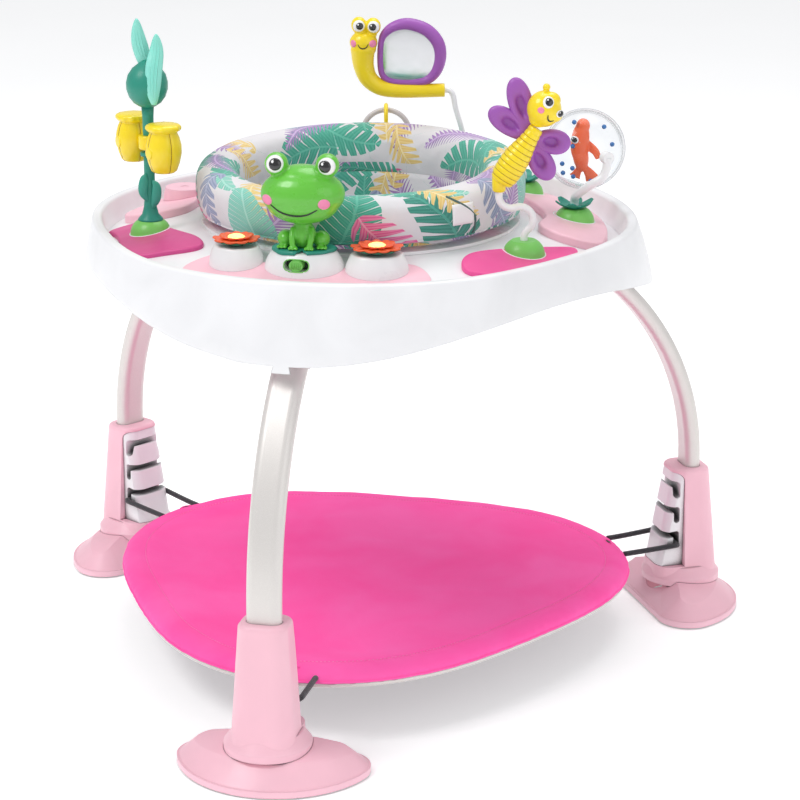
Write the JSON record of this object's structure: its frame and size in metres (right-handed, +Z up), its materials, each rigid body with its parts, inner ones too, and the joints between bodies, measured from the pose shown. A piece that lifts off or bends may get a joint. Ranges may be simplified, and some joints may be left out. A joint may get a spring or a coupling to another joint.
{
  "type": "activity jumper",
  "caption": "Round activity tray on bent legs, with a turning padded seat, a bounce mat hung on elastic cords, and toys on its rim.",
  "frame": {"origin": "on the floor, under the centre of the seat", "axes": "+Z up; -Y towards the front leg and the frog console; +X to the right seen from the front"},
  "size_m": [0.7914, 0.731, 0.691],
  "materials": {
    "white_shell": "satin moulded",
    "white_part": "satin moulded",
    "grey_frame": "moulded",
    "hot_pink": "satin moulded",
    "light_pink": "satin moulded",
    "pearl_tube": "pearl powder coat",
    "steel": "zinc plated",
    "grip_rubber": "soft",
    "mat_fabric": "padded woven",
    "cord": "braided elastic",
    "print_fabric": "leaf print weave",
    "green_plastic": "gloss moulded",
    "teal_plastic": "satin moulded",
    "aqua_leaf": "soft translucent",
    "yellow_plastic": "gloss moulded",
    "purple_plastic": "gloss moulded",
    "clear_plastic": "clear moulded",
    "orange_plastic": "gloss moulded",
    "blue_plastic": "gloss moulded",
    "mirror_face": "safe mirror film"
  },
  "bodies": {
    "frame": {"tray_shell": "white_shell", "underframe": "grey_frame", "tray_screws": "steel", "leg_bolts": "steel", "foot_grips": "grip_rubber", "pad_left": "hot_pink", "pad_right": "hot_pink", "pad_back_right": "light_pink", "pad_back_left": "light_pink", "pad_front": "light_pink", "toy_bases": "green_plastic", "socket_cap": "light_pink", "petal_collars": "teal_plastic", "leaf_stalk": "teal_plastic", "top_leaves": "aqua_leaf", "dragonfly_stalk": "white_part", "fish_arm": "white_part", "snail_wire": "white_part", "toy_loop": "white_part", "console_shell": "white_part", "battery_cells": "steel", "circuit_board": "green_plastic", "lily_leaf": "teal_plastic", "frog_body": "green_plastic", "leg_tube_front": "pearl_tube", "leg_column_front": "light_pink", "hook_rack_front": "white_part", "foot_front": "light_pink", "bungee_front": "cord", "leg_tube_right": "pearl_tube", "leg_column_right": "light_pink", "hook_rack_right": "white_part", "foot_right": "light_pink", "bungee_right": "cord", "leg_tube_left": "pearl_tube", "leg_column_left": "light_pink", "hook_rack_left": "white_part", "foot_left": "light_pink", "bungee_left": "cord"},
    "seat": {"seat_ring": "white_part", "seat_retainer": "white_part", "seat_bolster": "print_fabric", "seat_sling": "print_fabric"},
    "mat": {"mat_pad": "mat_fabric", "mat_hoop": "steel"},
    "pots": {"honey_pots": "yellow_plastic"},
    "dragonfly": {"dragonfly_body": "yellow_plastic", "dragonfly_wings": "purple_plastic"},
    "ball": {"fish_ball": "clear_plastic", "fish_figure": "orange_plastic", "ball_beads": "blue_plastic"},
    "snail": {"snail_body": "yellow_plastic", "snail_shell": "purple_plastic", "snail_mirror": "mirror_face"},
    "link": {"link_ring": "yellow_plastic"},
    "frog_top": {"frog_head": "green_plastic"},
    "switch": {"mode_switch": "green_plastic"},
    "flower_left": {"flower_button_left": "orange_plastic"},
    "flower_right": {"flower_button_right": "orange_plastic"}
  },
  "joints": [
    {"name": "seat_turn", "type": "hinge", "parent": "frame", "child": "seat", "pos_m": [0, 0, 0.474], "axis": [0, 0, 1], "continuous": true},
    {"name": "mat_bounce", "type": "slide", "parent": "frame", "child": "mat", "axis": [0, 0, 1], "range_m": [-0.03, 0.015], "stiffness_N_per_m": 3000, "deforming": ["bungee_front", "bungee_right", "bungee_left"]},
    {"name": "pots_turn", "type": "hinge", "parent": "frame", "child": "pots", "pos_m": [-0.209, -0.078, 0.562], "axis": [0, 0, 1], "continuous": true},
    {"name": "dragonfly_swivel", "type": "hinge", "parent": "frame", "child": "dragonfly", "pos_m": [0.16771, -0.09202, 0.535], "axis": [0, 0, 1], "range_deg": [-40, 40]},
    {"name": "ball_spin", "type": "hinge", "parent": "frame", "child": "ball", "pos_m": [0.22407, 0.09001, 0.5415], "axis": [0.6105, -0.792, 0], "continuous": true},
    {"name": "snail_tip", "type": "hinge", "parent": "frame", "child": "snail", "pos_m": [0.05151, 0.16268, 0.584], "axis": [0.9728, 0.2317, 0], "range_deg": [-30, 30], "stiffness_Nm_per_rad": 0.5},
    {"name": "link_swing", "type": "hinge", "parent": "frame", "child": "link", "pos_m": [-0.026, 0.219, 0.5475], "axis": [0.9728, 0.2317, 0], "range_deg": [-50, 50]},
    {"name": "frog_head_turn", "type": "hinge", "parent": "frame", "child": "frog_top", "pos_m": [-0.008, -0.2015, 0.516], "axis": [0, 0, 1], "range_deg": [-15, 15]},
    {"name": "switch_slide", "type": "slide", "parent": "frame", "child": "switch", "axis": [1, 0, 0], "range_m": [-0.005, 0.005]},
    {"name": "flower_left_press", "type": "slide", "parent": "frame", "child": "flower_left", "axis": [0, 0, 1], "range_m": [-0.003, 0], "stiffness_N_per_m": 300},
    {"name": "flower_right_press", "type": "slide", "parent": "frame", "child": "flower_right", "axis": [0, 0, 1], "range_m": [-0.003, 0], "stiffness_N_per_m": 300}
  ]
}
